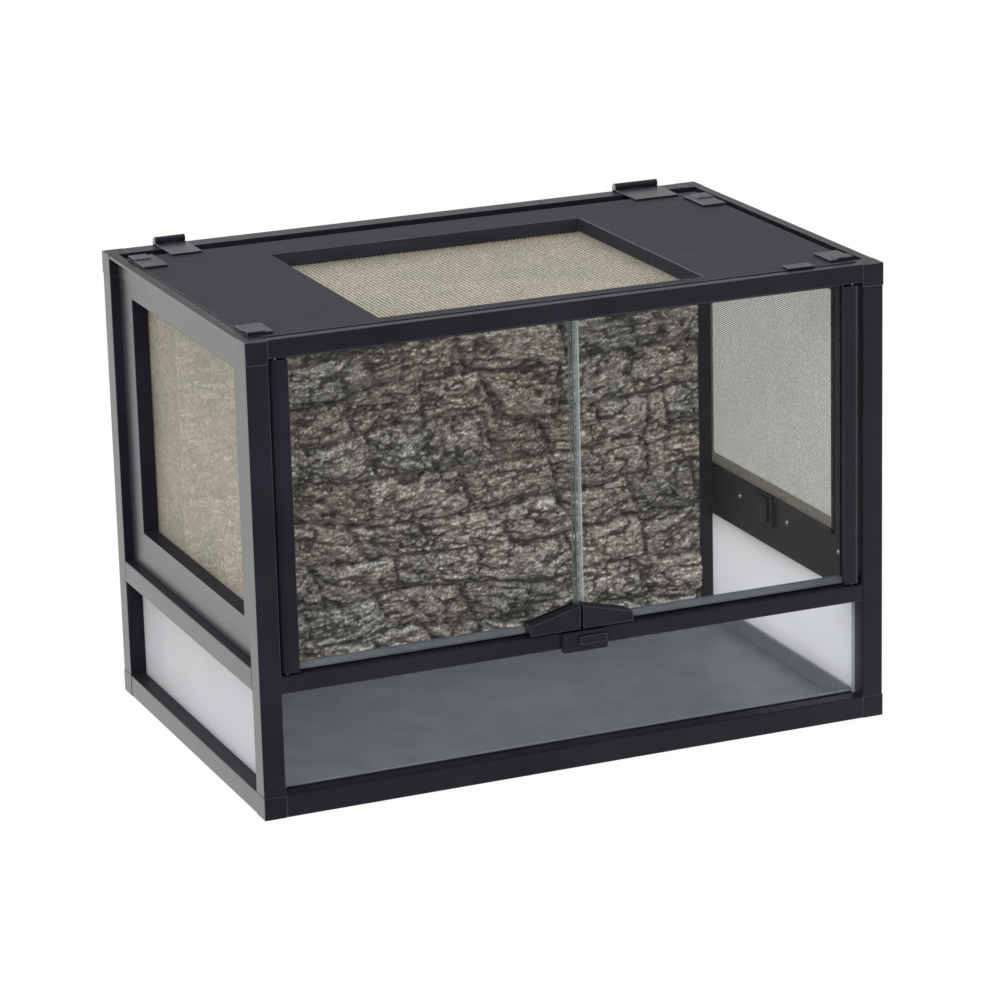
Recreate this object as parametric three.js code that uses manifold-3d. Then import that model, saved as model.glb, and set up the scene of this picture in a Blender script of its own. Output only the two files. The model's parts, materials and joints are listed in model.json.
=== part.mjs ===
// Terrarium cabinet: a frame of extruded profiles on plastic corner connectors, low fixed windows,
// two pivoting glass doors, meshed side panels and a hinged lid with a mesh window.
// Millimetres, +Z up, front towards -Y. The origin is at the middle of the base.
import * as THREE from 'three';
import { mergeVertices } from 'three/addons/utils/BufferGeometryUtils.js';
import Module from 'manifold-3d';

const wasm = await Module();
wasm.setup();

// ---------------------------------------------------------------- driving dimensions
const WIDTH = 700; // over the corner blocks, left to right
const DEPTH = 450; // over the corner blocks, front to rear
const HEIGHT = 495; // floor to the top of the rails
const GAP = 0.3; // assembly gap between touching pieces

// Frame profiles. Every depth is measured inwards from the outer plane of its own side.
const CORNER_SIZE = 24; // corner block, all three ways
const CORNER_PROUD = 0.4; // corner block beyond the faces of posts and rails
const EDGE_ROUND = 1.4; // rounded outer edges of the profiles
const WALL = 1.8; // wall of the hollow profiles
const SPIGOT_LENGTH = 16; // connector spigot inside a post or rail
const MID_RAIL_BASE = 131; // underside of the mid rails
const RAIL_HEIGHT = 24; // bottom, mid and top rails

// Windows in the lower band
const PANE_THICKNESS = 4;
const PANE_DEPTH = 18; // outer plane to the face of a pane
const GROOVE_DEPTH = 7; // glazing groove in a rail

// Doors
const DOOR_REBATE = 15.6; // depth of the step in sill and head that the doors close into
const SILL_STEP = 6; // how far the sill's front lies under its rear part
const HEAD_STEP = 5; // how far the head's front lies over its rear part
const DOOR_CLEARANCE = 2.5; // door to sill and door to head
const STILE_POST_GAP = 2; // stile to post
const STILE_WIDTH = 18;
const STILE_THICKNESS = 13.6;
const STILE_RECESS = 1; // stile face behind the outer plane
const GLASS_THICKNESS = 4;
const GLASS_RECESS = 8.4; // door glass behind the face of its stile
const GLASS_BITE = 7.5; // glass inside the slot of the stile
const DOOR_GAP = 3; // between the two door glasses
const ROD_DIAMETER = 4; // pivot rod through each stile
const RUNNING_GAP = 0.3; // rod to its holes
const ROD_INTO_SILL = 6;
const ROD_INTO_HEAD = 1.8;

// Door handles, a low roof shape where the doors meet
const HANDLE_LENGTH = 56;
const HANDLE_END_HEIGHT = 10.5;
const HANDLE_PEAK_HEIGHT = 24.5;
const HANDLE_PROUD = 4.5; // handle in front of the outer plane
const HANDLE_WEB = 1.5; // under the glass
const HANDLE_BACK = 1.1; // behind the glass
const SEAL_WALL = 0.9; // clear seal on the right door's free edge
const SEAL_GRIP = 6;

// Latch on the sill
const LATCH_LEFT = 22; // from the middle of the cabinet to the ends of the base
const LATCH_RIGHT = 28;
const LATCH_BELOW = 3; // base below the sill's underside
const LATCH_PROUD = 5; // base in front of the outer plane
const BUTTON_WIDTH = 9;
const BUTTON_REACH = 26; // pivot to tip
const BUTTON_THICKNESS = 3.5;
const BUTTON_PIVOT_DIAMETER = 5;
const BUTTON_PIVOT_LENGTH = 4;

// Side panels and their mesh
const PANEL_DEPTH = 10; // outer plane to the panel's face
const PANEL_THICKNESS = 17;
const PANEL_MEMBER = 41; // width of its bottom and upright members
const PANEL_HEAD_MEMBER = 16;
const MESH_THICKNESS = 1.2;
const MESH_MARGIN = 7; // mesh behind its frame all round
const SIDE_MESH_GAPS = [8, 6]; // along the side, up
const LID_MESH_GAPS = [9, 8]; // along X, along Y
const MESH_BAR = 3.2; // bar between two gaps

// Top rails and lid
const TOP_STRIP = 11; // rail beside the lid, from the outer plane
const TOP_FLANGE = 4; // thickness of the side rails' outer flange
const TOP_LEDGE_END = 27; // inner edge of the side ledges
const LID_THICKNESS = 15;
const LID_SKIN = 2;
const LID_RIM = 2.5;
const LID_LEFT = 12.5; // lid edges from the outer planes
const LID_RIGHT = 22;
const LID_FRONT = 18;
const LID_REAR = 48;
const LID_WINDOW_LEFT = 153; // window edges from the outer planes
const LID_WINDOW_RIGHT = 190;
const LID_WINDOW_FRONT = 34;
const LID_WINDOW_REAR = 106;
const HINGE_STEP_END = 44; // low inner step of the rear rail, from the rear plane
const HINGE_STEP_HEIGHT = 16;
const CAP_LENGTH = 27; // lid corner caps
const FRONT_CAP_WIDTH = 38;
const REAR_CAP_WIDTH = 52;
const REAR_LEFT_CAP_INSET = 5; // from the lid's rear edge
const REAR_RIGHT_CAP_INSET = 26;
const CAP_THICKNESS = 2.4;
const CAP_STEP = 1.4;
const TAB_LENGTH = 30; // lift tab on the lid's front edge
const TAB_WIDTH = 16;
const TAB_THICKNESS = 2.2;
const TAB_RIGHT = 73; // its right end from the right plane
const TAB_OVERHANG = 5;

// Lid hinges
const HINGE_INSET = 75; // hinge centres from the outer planes
const HINGE_WIDTH_LEFT = 34;
const HINGE_WIDTH_RIGHT = 52;
const KNUCKLE_DIAMETER = 8;
const HINGE_PIN_DIAMETER = 3.4;
const HINGE_AXIS_INSET = 3.5; // barrel axis in front of the rear plane
const HINGE_AXIS_RISE = 4.8; // barrel axis over the rails
const LEAF_THICKNESS = 2;
const LEAF_DROP = 20; // fixed leaf down the rear rail
const LEAF_REACH = 14; // moving leaf on the lid

// Inside
const BACK_PANEL_THICKNESS = 4;
const TRAY_SHEET = 2.4; // floor sheet of the base tray
const TRAY_WALL = 1.2; // its upright rim
const TRAY_FLOOR_RISE = 3;
const TRAY_HOOK = 1.5; // rim's lip over the bottom rails
const ROCK_FACE = 97; // nominal face of the background, from the rear plane
const ROCK_BACK = 28;
const ROCK_SIDE = 31; // its ends, from the side planes
const ROCK_HEADROOM = 5; // its top under the top rails
const ROCK_COURSES = 8;
const ROCK_STONE_WIDTH = 92;
const ROCK_RELIEF = 14;
const CHANNEL_THICKNESS = 1.8;
const CHANNEL_FLANGE = 16;

// ---------------------------------------------------------------- worked out from them
const LATCH_FRONT = LATCH_PROUD + GAP + BUTTON_THICKNESS;
const LEAF_BEHIND = LEAF_THICKNESS + GAP - CORNER_PROUD;
const SHIFT = (LATCH_FRONT - LEAF_BEHIND) / 2; // keeps the origin in the middle of everything
const LEFT = -WIDTH / 2;
const RIGHT = WIDTH / 2;
const FRONT = -DEPTH / 2 + SHIFT;
const REAR = DEPTH / 2 + SHIFT;
const MIDDLE = (FRONT + REAR) / 2;
const START = CORNER_SIZE + GAP; // where a rail or panel starts, from the outer plane
const MID_RAIL_TOP = MID_RAIL_BASE + RAIL_HEIGHT;
const TOP_RAIL_BASE = HEIGHT - RAIL_HEIGHT;
const SILL_TOP = MID_RAIL_TOP - SILL_STEP;
const HEAD_BASE = TOP_RAIL_BASE + HEAD_STEP;
const DOOR_BASE = SILL_TOP + DOOR_CLEARANCE;
const DOOR_TOP = HEAD_BASE - DOOR_CLEARANCE;
const LID_BASE = HEIGHT - LID_THICKNESS;
const ROCK_TOP = TOP_RAIL_BASE - ROCK_HEADROOM;
const LEDGE_TOP = LID_BASE - GAP;
const GROOVE_NEAR = PANE_DEPTH - GAP;
const GROOVE_FAR = PANE_DEPTH + PANE_THICKNESS + GAP;
const BORE_NEAR = CORNER_PROUD + WALL;
const BORE_FAR = GROOVE_NEAR - WALL;
const PIVOT_RADIUS = STILE_THICKNESS / 2;
const PIVOT_IN = CORNER_SIZE + STILE_POST_GAP + PIVOT_RADIUS; // pivot axis from the side plane
const PIVOT_DEPTH = STILE_RECESS + PIVOT_RADIUS;
const GLASS_DEPTH = STILE_RECESS + GLASS_RECESS;
const GLASS_BACK = GLASS_DEPTH + GLASS_THICKNESS;
const GLASS_BASE = DOOR_BASE + HANDLE_WEB + GAP;
const STILE_IN = CORNER_SIZE + STILE_POST_GAP + STILE_WIDTH;
const HINGE_Y = REAR - HINGE_AXIS_INSET;
const HINGE_Z = HEIGHT + HINGE_AXIS_RISE;

// ---------------------------------------------------------------- materials
const finish = (color, roughness, metalness = 0, extra = {}) =>
  new THREE.MeshStandardMaterial({ color, roughness, metalness, ...extra });
const FRAME_BLACK = finish(0x26242b, 0.35, 0.2);
const PLASTIC_BLACK = finish(0x201f24, 0.5);
const LID_GREY = finish(0x46454c, 0.5);
const STEEL = finish(0x9a9c9e, 0.3, 1);
const MESH_BEIGE = finish(0xa59c84, 0.6);
const CLEAR = finish(0xdfe8e6, 0.05, 0, { transparent: true, opacity: 0.25 });
const FROSTED = finish(0xd0d0d4, 0.4, 0, { transparent: true, opacity: 0.75 });
const ROCK = finish(0x6b635c, 0.9);
const TRAY = finish(0x7f8289, 0.5);

// ---------------------------------------------------------------- geometry helpers
const cabinet = new THREE.Group();

function addMesh(name, geometry, material, parent = cabinet) {
  const mesh = new THREE.Mesh(geometry, material);
  mesh.name = name;
  parent.add(mesh);
  return mesh;
}

function solid(geometry) {
  const bare = geometry.clone();
  bare.deleteAttribute('normal');
  bare.deleteAttribute('uv');
  const merged = mergeVertices(bare, 1e-4);
  return new wasm.Manifold(new wasm.Mesh({
    numProp: 3,
    vertProperties: new Float32Array(merged.attributes.position.array),
    triVerts: new Uint32Array(merged.index.array),
  }));
}

function fromSolid(manifold) {
  const mesh = manifold.getMesh();
  const geometry = new THREE.BufferGeometry();
  geometry.setAttribute('position', new THREE.BufferAttribute(mesh.vertProperties, 3));
  geometry.setIndex(new THREE.BufferAttribute(mesh.triVerts, 1));
  geometry.computeVertexNormals();
  return geometry;
}

const cut = (geometry, ...tools) =>
  fromSolid(tools.reduce((body, tool) => body.subtract(solid(tool)), solid(geometry)));
const join = (...geometries) => fromSolid(geometries.map(solid).reduce((a, b) => a.add(b)));

function block(x0, x1, y0, y1, z0, z1) {
  const box = new THREE.BoxGeometry(x1 - x0, y1 - y0, z1 - z0);
  return box.translate((x0 + x1) / 2, (y0 + y1) / 2, (z0 + z1) / 2);
}

function rod(diameter, length, axis, segments = 16) {
  const cylinder = new THREE.CylinderGeometry(diameter / 2, diameter / 2, length, segments);
  if (axis === 'x') cylinder.rotateZ(Math.PI / 2);
  if (axis === 'z') cylinder.rotateX(Math.PI / 2);
  return cylinder;
}

// A closed outline whose third coordinate, where given, is the radius of that corner. It always
// runs anticlockwise, so an outline may be given mirrored.
function outline(corners, Kind = THREE.Shape) {
  const shape = new Kind();
  const area = corners.reduce((sum, [x, y], i) => {
    const [nx, ny] = corners[(i + 1) % corners.length];
    return sum + x * ny - nx * y;
  }, 0);
  const points = area < 0 ? corners.toReversed() : corners;
  points.forEach(([x, y, radius = 0], i) => {
    const [px, py] = points[(i + points.length - 1) % points.length];
    const [nx, ny] = points[(i + 1) % points.length];
    const before = Math.hypot(px - x, py - y);
    const after = Math.hypot(nx - x, ny - y);
    const enter = [x + ((px - x) * radius) / before, y + ((py - y) * radius) / before];
    const leave = [x + ((nx - x) * radius) / after, y + ((ny - y) * radius) / after];
    if (i === 0) shape.moveTo(...enter);
    else shape.lineTo(...enter);
    if (radius > 0) shape.quadraticCurveTo(x, y, ...leave);
  });
  shape.closePath();
  return shape;
}

const rectangle = (x0, x1, y0, y1, Kind = THREE.Shape) =>
  outline([[x0, y0], [x1, y0], [x1, y1], [x0, y1]], Kind);

function withHoles(shape, ...holes) {
  shape.holes.push(...holes);
  return shape;
}

const extrude = (shape, depth, curveSegments = 3) =>
  new THREE.ExtrudeGeometry(shape, { depth, bevelEnabled: false, curveSegments });

// Stands a plan outline (x, y) up from z0 to z1.
const upright = (shape, z0, z1, segments) => extrude(shape, z1 - z0, segments).translate(0, 0, z0);

// Runs a section (depth, height) along a side from u0 to u1.
const ALONG = new THREE.Matrix4().makeBasis(
  new THREE.Vector3(0, 1, 0),
  new THREE.Vector3(0, 0, 1),
  new THREE.Vector3(1, 0, 0),
);
const along = (section, u0, u1) => extrude(section, u1 - u0).applyMatrix4(ALONG).translate(u0, 0, 0);

// Runs an outline drawn in the front plane (x, z) from y0 back to y1.
const facing = (shape, y0, y1) => extrude(shape, y1 - y0).rotateX(Math.PI / 2).translate(0, y1, 0);

// Each side has its own group: x runs along the side, y inwards from the outer plane.
function sideGroup(x, y, turn, length) {
  const group = new THREE.Group();
  group.position.set(x, y, 0);
  group.rotation.z = turn;
  group.userData.half = length / 2;
  cabinet.add(group);
  return group;
}
const sides = {
  front: sideGroup(0, FRONT, 0, WIDTH),
  rear: sideGroup(0, REAR, Math.PI, WIDTH),
  left: sideGroup(LEFT, MIDDLE, -Math.PI / 2, DEPTH),
  right: sideGroup(RIGHT, MIDDLE, Math.PI / 2, DEPTH),
};

// ---------------------------------------------------------------- frame
const outerFace = CORNER_PROUD;
const lowBore = () => rectangle(BORE_NEAR, BORE_FAR, WALL, RAIL_HEIGHT - WALL, THREE.Path);
const sideMidBore = () =>
  rectangle(BORE_NEAR, BORE_FAR, MID_RAIL_BASE + WALL, MID_RAIL_TOP - WALL, THREE.Path);
const sillBore = () =>
  rectangle(BORE_NEAR, DOOR_REBATE - WALL, MID_RAIL_BASE + WALL, SILL_TOP - WALL, THREE.Path);
const headBore = () =>
  rectangle(BORE_NEAR, TOP_STRIP - WALL, HEAD_BASE + WALL, HEIGHT - WALL, THREE.Path);
const rearBore = () =>
  rectangle(BORE_NEAR, BORE_FAR, TOP_RAIL_BASE + WALL, HEIGHT - WALL, THREE.Path);

const bottomRail = () => withHoles(outline([
  [outerFace, 0, EDGE_ROUND], [CORNER_SIZE, 0],
  [CORNER_SIZE, RAIL_HEIGHT], [GROOVE_FAR, RAIL_HEIGHT],
  [GROOVE_FAR, RAIL_HEIGHT - GROOVE_DEPTH], [GROOVE_NEAR, RAIL_HEIGHT - GROOVE_DEPTH],
  [GROOVE_NEAR, RAIL_HEIGHT], [outerFace, RAIL_HEIGHT, EDGE_ROUND],
]), lowBore());

const midRail = (top) => [
  [outerFace, MID_RAIL_BASE, EDGE_ROUND],
  [GROOVE_NEAR, MID_RAIL_BASE], [GROOVE_NEAR, MID_RAIL_BASE + GROOVE_DEPTH],
  [GROOVE_FAR, MID_RAIL_BASE + GROOVE_DEPTH], [GROOVE_FAR, MID_RAIL_BASE],
  [CORNER_SIZE, MID_RAIL_BASE], [CORNER_SIZE, MID_RAIL_TOP],
  ...top,
];
const sideMidRail = () =>
  withHoles(outline(midRail([[outerFace, MID_RAIL_TOP, EDGE_ROUND]])), sideMidBore());
const sillRail = () => withHoles(outline(midRail([
  [DOOR_REBATE, MID_RAIL_TOP], [DOOR_REBATE, SILL_TOP], [outerFace, SILL_TOP, EDGE_ROUND],
])), sillBore());

const headRail = () => withHoles(outline([
  [outerFace, HEAD_BASE, EDGE_ROUND], [DOOR_REBATE, HEAD_BASE],
  [DOOR_REBATE, TOP_RAIL_BASE], [CORNER_SIZE, TOP_RAIL_BASE],
  [CORNER_SIZE, LEDGE_TOP], [TOP_STRIP, LEDGE_TOP],
  [TOP_STRIP, HEIGHT], [outerFace, HEIGHT, EDGE_ROUND],
]), headBore());

const sideTopRail = () => outline([
  [outerFace, HEIGHT - TOP_FLANGE], [TOP_STRIP - WALL, HEIGHT - TOP_FLANGE],
  [TOP_STRIP - WALL, TOP_RAIL_BASE], [TOP_LEDGE_END, TOP_RAIL_BASE],
  [TOP_LEDGE_END, LEDGE_TOP], [TOP_STRIP, LEDGE_TOP],
  [TOP_STRIP, HEIGHT], [outerFace, HEIGHT, EDGE_ROUND],
]);

const rearTopRail = () => withHoles(outline([
  [outerFace, TOP_RAIL_BASE, EDGE_ROUND],
  [GROOVE_NEAR, TOP_RAIL_BASE], [GROOVE_NEAR, TOP_RAIL_BASE + GROOVE_DEPTH],
  [GROOVE_FAR, TOP_RAIL_BASE + GROOVE_DEPTH], [GROOVE_FAR, TOP_RAIL_BASE],
  [CORNER_SIZE, TOP_RAIL_BASE], [CORNER_SIZE, HEIGHT], [outerFace, HEIGHT, EDGE_ROUND],
]), rearBore());

function rail(name, side, section) {
  const end = sides[side].userData.half - START;
  addMesh(name, along(section, -end, end), FRAME_BLACK, sides[side]);
}

// Holes in sill and head for the pivot rods of the doors.
function pivotHoles(z0, z1) {
  const x = WIDTH / 2 - PIVOT_IN;
  return [-x, x].map((at) =>
    rod(ROD_DIAMETER + 2 * RUNNING_GAP, z1 - z0, 'z').translate(at, PIVOT_DEPTH, (z0 + z1) / 2));
}

function buildRails() {
  for (const side of ['front', 'rear', 'left', 'right']) rail(`bottom_${side}_rail`, side, bottomRail());
  for (const side of ['left', 'right']) rail(`mid_${side}_rail`, side, sideMidRail());
  for (const side of ['left', 'right']) rail(`top_${side}_rail`, side, sideTopRail());

  const end = WIDTH / 2 - START;
  const latchHole = rod(BUTTON_PIVOT_DIAMETER + 2 * RUNNING_GAP, WALL * 3, 'y')
    .translate(0, outerFace, (MID_RAIL_BASE + SILL_TOP) / 2);
  addMesh('mid_front_rail', cut(
    along(sillRail(), -end, end),
    ...pivotHoles(SILL_TOP - 2 * WALL, SILL_TOP + 1),
    latchHole,
  ), FRAME_BLACK, sides.front);
  addMesh('top_front_rail', cut(
    along(headRail(), -end, end),
    ...pivotHoles(HEAD_BASE - 1, HEAD_BASE + 2 * WALL),
  ), FRAME_BLACK, sides.front);

  const stepEnd = WIDTH / 2 - TOP_LEDGE_END - GAP;
  const step = withHoles(
    rectangle(CORNER_SIZE - 1, HINGE_STEP_END, TOP_RAIL_BASE, TOP_RAIL_BASE + HINGE_STEP_HEIGHT),
    rectangle(CORNER_SIZE + WALL, HINGE_STEP_END - WALL, TOP_RAIL_BASE + WALL,
      TOP_RAIL_BASE + HINGE_STEP_HEIGHT - WALL, THREE.Path),
  );
  addMesh('top_rear_rail', join(along(rearTopRail(), -end, end), along(step, -stepEnd, stepEnd)),
    FRAME_BLACK, sides.rear);
}

// Posts are square tubes; their outline is drawn from the cabinet's corner inwards.
function buildPosts() {
  const corners = { front_left: [LEFT, FRONT, 1, 1], front_right: [RIGHT, FRONT, -1, 1],
    rear_left: [LEFT, REAR, 1, -1], rear_right: [RIGHT, REAR, -1, -1] };
  const near = CORNER_PROUD;
  const far = CORNER_SIZE;
  for (const [name, [x, y, sx, sy]] of Object.entries(corners)) {
    const at = (dx, dy, radius) => [x + sx * dx, y + sy * dy, radius];
    const section = withHoles(
      outline([at(near, near, EDGE_ROUND), at(far, near, EDGE_ROUND), at(far, far),
        at(near, far, EDGE_ROUND)]),
      outline([at(near + WALL, near + WALL), at(far - WALL, near + WALL), at(far - WALL, far - WALL),
        at(near + WALL, far - WALL)], THREE.Path),
    );
    addMesh(`${name}_post`, upright(section, RAIL_HEIGHT + GAP, TOP_RAIL_BASE - GAP), FRAME_BLACK);

    const box = (x0, x1, y0, y1, z0, z1) => block(
      Math.min(x + sx * x0, x + sx * x1), Math.max(x + sx * x0, x + sx * x1),
      Math.min(y + sy * y0, y + sy * y1), Math.max(y + sy * y0, y + sy * y1), z0, z1,
    );
    const bury = 1; // spigots start inside the block
    const reach = CORNER_SIZE + SPIGOT_LENGTH;
    const postNear = near + WALL + GAP;
    const postFar = far - WALL - GAP;
    const railNear = BORE_NEAR + GAP;
    const railFar = BORE_FAR - GAP;
    addMesh(`bottom_${name}_connector`, join(
      box(0, CORNER_SIZE, 0, CORNER_SIZE, 0, RAIL_HEIGHT),
      box(postNear, postFar, postNear, postFar, RAIL_HEIGHT - bury, RAIL_HEIGHT + SPIGOT_LENGTH),
      box(CORNER_SIZE - bury, reach, railNear, railFar, WALL + GAP, RAIL_HEIGHT - WALL - GAP),
      box(railNear, railFar, CORNER_SIZE - bury, reach, WALL + GAP, RAIL_HEIGHT - WALL - GAP),
    ), PLASTIC_BLACK);

    const isFront = sy > 0;
    const topFar = (isFront ? TOP_STRIP - WALL : BORE_FAR) - GAP;
    const topBase = (isFront ? HEAD_BASE : TOP_RAIL_BASE) + WALL + GAP;
    addMesh(`top_${name}_connector`, join(
      box(0, CORNER_SIZE, 0, CORNER_SIZE, TOP_RAIL_BASE, HEIGHT),
      box(postNear, postFar, postNear, postFar, TOP_RAIL_BASE - SPIGOT_LENGTH, TOP_RAIL_BASE + bury),
      box(CORNER_SIZE - bury, reach, railNear, topFar, topBase, HEIGHT - WALL - GAP),
    ), PLASTIC_BLACK);
  }
}

// ---------------------------------------------------------------- windows, back and base
function buildPanes() {
  const bottom = RAIL_HEIGHT - GROOVE_DEPTH + GAP;
  const lowTop = MID_RAIL_BASE + GROOVE_DEPTH - GAP;
  for (const side of ['front', 'left', 'right']) {
    const end = sides[side].userData.half - START;
    addMesh(`lower_${side}_window`,
      block(-end, end, PANE_DEPTH, PANE_DEPTH + PANE_THICKNESS, bottom, lowTop),
      side === 'front' ? CLEAR : FROSTED, sides[side]);
  }
  const end = sides.rear.userData.half - START;
  addMesh('back_panel',
    block(-end, end, PANE_DEPTH, PANE_DEPTH + BACK_PANEL_THICKNESS, bottom,
      TOP_RAIL_BASE + GROOVE_DEPTH - GAP), PLASTIC_BLACK, sides.rear);
}

// The tray's sheet lies between the bottom rails. Its rim stands on the sheet's edge and hooks over
// the rails' inner walls.
function buildTray() {
  const x0 = LEFT + START;
  const x1 = RIGHT - START;
  const y0 = FRONT + START;
  const y1 = REAR - START;
  const sheetTop = TRAY_FLOOR_RISE + TRAY_SHEET;
  const hookBase = RAIL_HEIGHT + GAP;
  const rimTop = hookBase + TRAY_HOOK;
  const hook = START - GROOVE_FAR - GAP;
  const clear = 2; // lip ends clear of the posts
  addMesh('base_tray', block(x0, x1, y0, y1, TRAY_FLOOR_RISE, sheetTop), TRAY);
  const rimBase = sheetTop + GAP;
  const ring = cut(
    block(x0, x1, y0, y1, rimBase, rimTop),
    block(x0 + TRAY_WALL, x1 - TRAY_WALL, y0 + TRAY_WALL, y1 - TRAY_WALL, rimBase - 1, rimTop + 1),
  );
  const inner = TRAY_WALL / 2; // lip overlaps the wall
  addMesh('base_tray_rim', join(
    ring,
    block(x0 + clear, x1 - clear, y0 - hook, y0 + inner, hookBase, rimTop),
    block(x0 + clear, x1 - clear, y1 - inner, y1 + hook, hookBase, rimTop),
    block(x0 - hook, x0 + inner, y0 + clear, y1 - clear, hookBase, rimTop),
    block(x1 - inner, x1 + hook, y0 + clear, y1 - clear, hookBase, rimTop),
  ), TRAY);
}

// A repeatable spread of values between 0 and 1.
const spread = (n) => {
  const value = Math.sin(n * 12.9898 + 4.137) * 43758.5453;
  return value - Math.floor(value);
};

// Stones in courses stand out of a foam slab; each one tapers to a smaller face.
function stone(x0, x1, z0, z1, proud, slope) {
  const base = outline([[x0, z0], [x1, z0], [x1, z1], [x0, z1]]);
  const geometry = facing(base, -proud, 1);
  const position = geometry.attributes.position;
  const midX = (x0 + x1) / 2;
  const midZ = (z0 + z1) / 2;
  for (let i = 0; i < position.count; i += 1) {
    if (position.getY(i) < 0) {
      position.setX(i, position.getX(i) + Math.sign(midX - position.getX(i)) * slope);
      position.setZ(i, position.getZ(i) + Math.sign(midZ - position.getZ(i)) * slope);
    }
  }
  return geometry;
}

function buildRock() {
  const floor = TRAY_FLOOR_RISE + TRAY_SHEET + GAP;
  const slab = block(LEFT + ROCK_SIDE, RIGHT - ROCK_SIDE, REAR - ROCK_FACE, REAR - ROCK_BACK,
    floor, ROCK_TOP);
  const meshBack = PANEL_DEPTH + PANEL_THICKNESS + GAP + MESH_THICKNESS + GAP;
  const crevice = 4; // half the joint between two stones
  const x0 = LEFT + meshBack + CHANNEL_FLANGE; // the stones lie between the channels
  const x1 = RIGHT - meshBack - CHANNEL_FLANGE;
  const courseHeight = (ROCK_TOP - floor) / ROCK_COURSES;
  const pieces = [slab];
  for (let row = 0; row < ROCK_COURSES; row += 1) {
    const z0 = floor + row * courseHeight + crevice;
    const z1 = floor + (row + 1) * courseHeight - crevice;
    let x = x0;
    for (let n = 0; x < x1 - crevice; n += 1) {
      const wish = ROCK_STONE_WIDTH * (0.7 + 0.8 * spread(row * 31 + n));
      const end = x1 - (x + wish) < ROCK_STONE_WIDTH / 2 ? x1 : x + wish;
      const proud = ROCK_RELIEF * (0.45 + 0.55 * spread(row * 57 + n + 9));
      pieces.push(stone(x + crevice, end - crevice, z0, z1, proud, proud * 0.4)
        .translate(0, REAR - ROCK_FACE, 0));
      x = end;
    }
  }
  addMesh('rock_background', join(...pieces), ROCK);

  // Angle channels hold the two upright edges.
  const front = ROCK_FACE + GAP + CHANNEL_THICKNESS;
  const flange = ROCK_FACE + GAP;
  for (const [side, x, sx] of [['left', LEFT, 1], ['right', RIGHT, -1]]) {
    const section = outline([
      [x + sx * meshBack, REAR - front], [x + sx * (meshBack + CHANNEL_FLANGE), REAR - front],
      [x + sx * (meshBack + CHANNEL_FLANGE), REAR - flange],
      [x + sx * (meshBack + CHANNEL_THICKNESS), REAR - flange],
      [x + sx * (meshBack + CHANNEL_THICKNESS), REAR - ROCK_BACK], [x + sx * meshBack, REAR - ROCK_BACK],
    ]);
    addMesh(`${side}_background_channel`, upright(section, floor, ROCK_TOP), FRAME_BLACK);
  }
}

// ---------------------------------------------------------------- side panels
// A flat net: a sheet with a regular grid of gaps, lying in (x, y) on z = 0.
function net(x0, x1, y0, y1, [columns, rows]) {
  const stepX = (x1 - x0 - 2 * MESH_MARGIN + MESH_BAR) / columns;
  const stepY = (y1 - y0 - 2 * MESH_MARGIN + MESH_BAR) / rows;
  const gaps = [];
  for (let i = 0; i < columns; i += 1) {
    for (let j = 0; j < rows; j += 1) {
      const left = x0 + MESH_MARGIN + i * stepX;
      const low = y0 + MESH_MARGIN + j * stepY;
      gaps.push(block(left, left + stepX - MESH_BAR, low, low + stepY - MESH_BAR, -1, MESH_THICKNESS + 1));
    }
  }
  return cut(block(x0, x1, y0, y1, 0, MESH_THICKNESS), ...gaps);
}

function buildSidePanels() {
  const base = MID_RAIL_TOP + GAP;
  const top = TOP_RAIL_BASE - GAP;
  const end = DEPTH / 2 - START;
  const openEnd = end - PANEL_MEMBER;
  const openBase = base + PANEL_MEMBER;
  const openTop = top - PANEL_HEAD_MEMBER;
  const meshDepth = PANEL_DEPTH + PANEL_THICKNESS + GAP;
  for (const side of ['left', 'right']) {
    const ring = withHoles(rectangle(-end, end, base, top),
      rectangle(-openEnd, openEnd, openBase, openTop, THREE.Path));
    addMesh(`${side}_panel_frame`, facing(ring, PANEL_DEPTH, PANEL_DEPTH + PANEL_THICKNESS),
      FRAME_BLACK, sides[side]);
    const sheet = net(-openEnd - MESH_MARGIN, openEnd + MESH_MARGIN,
      openBase - MESH_MARGIN, openTop + MESH_MARGIN, SIDE_MESH_GAPS);
    addMesh(`${side}_side_mesh`,
      sheet.rotateX(Math.PI / 2).translate(0, meshDepth + MESH_THICKNESS, 0), MESH_BEIGE, sides[side]);
  }
}

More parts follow.
